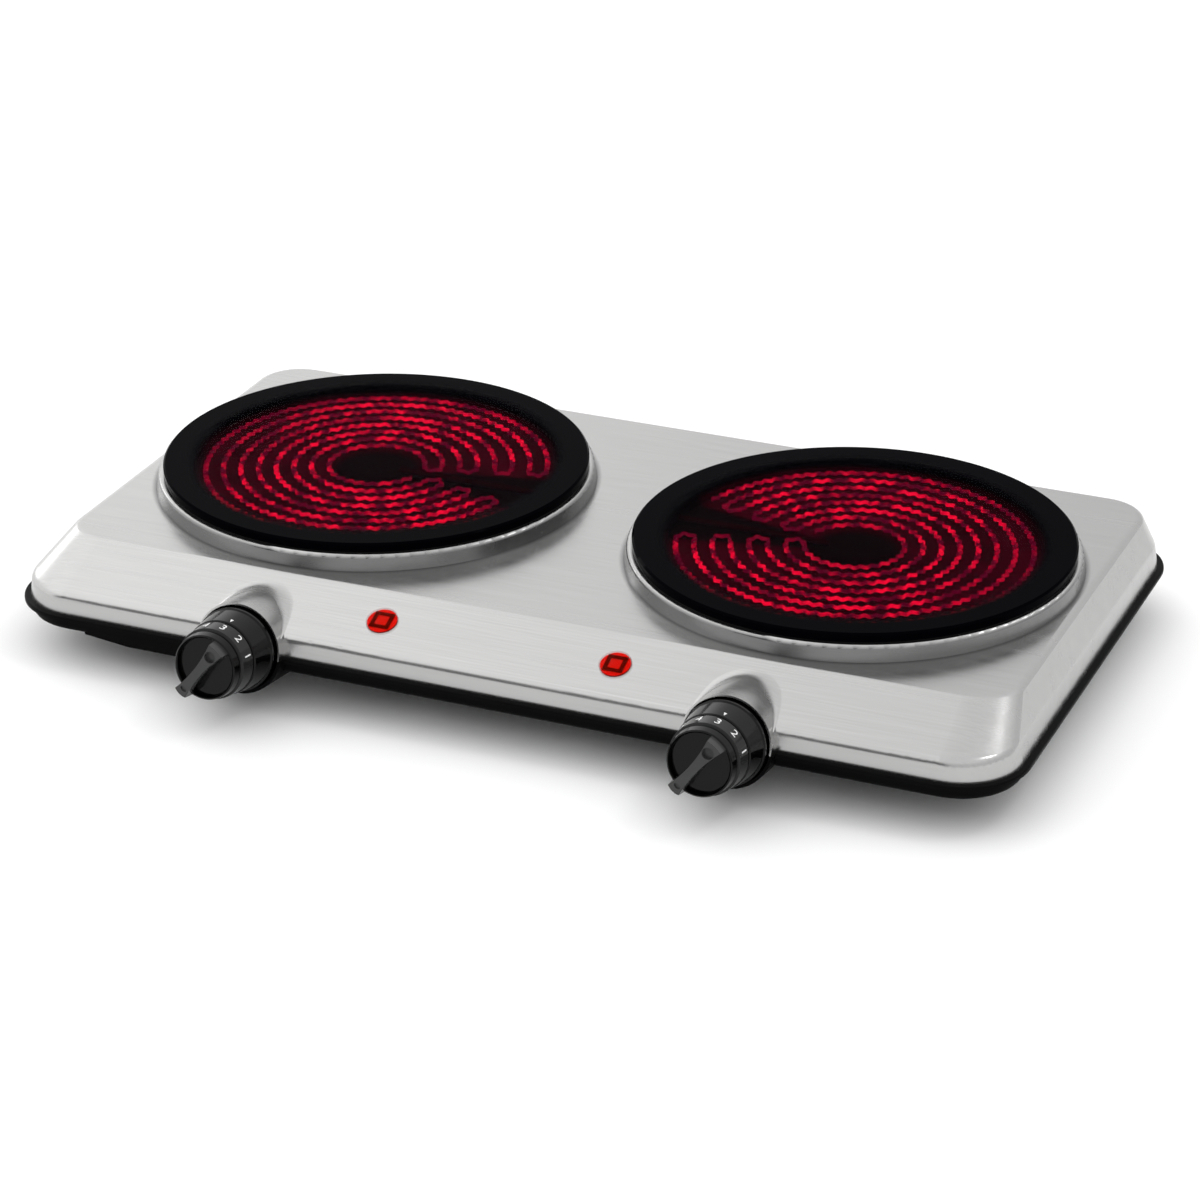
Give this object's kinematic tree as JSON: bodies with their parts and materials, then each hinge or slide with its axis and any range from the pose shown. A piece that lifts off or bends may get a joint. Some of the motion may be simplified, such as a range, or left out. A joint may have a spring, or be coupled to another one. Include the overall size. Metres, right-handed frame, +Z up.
{
  "type": "hot plate",
  "caption": "Free-standing double infrared hot plate: two dark ceramic glass discs on a brushed steel casing, front knobs and red lamps.",
  "frame": {"origin": "on the surface that the feet stand on, under the middle of the whole footprint with the knobs", "axes": "+X along the front edge towards the right-hand burner, +Y from the knobs to the back, +Z up"},
  "size_m": [0.4712, 0.3014, 0.0586],
  "materials": {
    "stainless": "brushed along its length",
    "black_tray": "satin moulded black",
    "gloss_black": "high gloss black",
    "ceramic_glass": "polished dark ceramic glass",
    "silicone": "matt",
    "rubber_foot": "matt",
    "dish_steel": "pressed aluminised steel",
    "silica_board": "pressed silica fibre",
    "glowing_ribbon": "corrugated resistance strip, glowing red",
    "quartz": "clear quartz",
    "ceramic": "unglazed steatite",
    "spring_steel": "bright strip",
    "zinc_steel": "zinc plated",
    "shaft_steel": "turned",
    "regulator_case": "brown phenolic",
    "red_lens": "clear red, domed",
    "neon_glass": "clear",
    "black_bush": "satin",
    "terminal_plastic": "natural nylon",
    "brass": "plain",
    "lead_sleeve": "braided heat resistant sleeve"
  },
  "bodies": {
    "body": {"base_screws": "zinc_steel", "base_tray": "black_tray", "bezel_left": "gloss_black", "bezel_right": "gloss_black", "casing_bracket_back_left": "zinc_steel", "casing_bracket_back_right": "zinc_steel", "casing_bracket_front_left": "zinc_steel", "casing_bracket_front_right": "zinc_steel", "cord_inlet_bush": "black_bush", "earth_screw": "brass", "foot_back_left": "rubber_foot", "foot_back_right": "rubber_foot", "foot_front_left": "rubber_foot", "foot_front_right": "rubber_foot", "foot_screws": "zinc_steel", "glass_gasket_left": "silicone", "glass_gasket_right": "silicone", "glass_left": "ceramic_glass", "glass_right": "ceramic_glass", "heater_dish_left": "dish_steel", "heater_dish_right": "dish_steel", "heater_spring_left": "spring_steel", "heater_spring_right": "spring_steel", "heating_ribbon_left": "glowing_ribbon", "heating_ribbon_right": "glowing_ribbon", "insulation_base_left": "silica_board", "insulation_base_right": "silica_board", "insulation_ring_left": "silica_board", "insulation_ring_right": "silica_board", "lamp_clip_left": "spring_steel", "lamp_clip_right": "spring_steel", "lamp_lens_left": "red_lens", "lamp_lens_right": "red_lens", "limiter_rod_left": "quartz", "limiter_rod_right": "quartz", "limiter_switch_left": "ceramic", "limiter_switch_right": "ceramic", "neon_lamp_left": "neon_glass", "neon_lamp_right": "neon_glass", "power_lead_left": "lead_sleeve", "power_lead_right": "lead_sleeve", "regulator_bracket_left": "zinc_steel", "regulator_bracket_right": "zinc_steel", "regulator_left": "regulator_case", "regulator_right": "regulator_case", "regulator_screws": "zinc_steel", "spring_screws": "zinc_steel", "terminal_block": "terminal_plastic", "top_shell": "stainless"},
    "left_knob_body": {"knob_left": "gloss_black", "knob_clip_left": "spring_steel", "regulator_shaft_left": "shaft_steel"},
    "right_knob_body": {"knob_right": "gloss_black", "knob_clip_right": "spring_steel", "regulator_shaft_right": "shaft_steel"}
  },
  "joints": [
    {"name": "left_knob_turn", "type": "hinge", "parent": "body", "child": "left_knob_body", "pos_m": [-0.114, -0.11566, 0.0274], "axis": [0, 0.9903, -0.1392], "range_deg": [-90, 90]},
    {"name": "right_knob_turn", "type": "hinge", "parent": "body", "child": "right_knob_body", "pos_m": [0.114, -0.11566, 0.0274], "axis": [0, 0.9903, -0.1392], "range_deg": [-90, 90]}
  ]
}
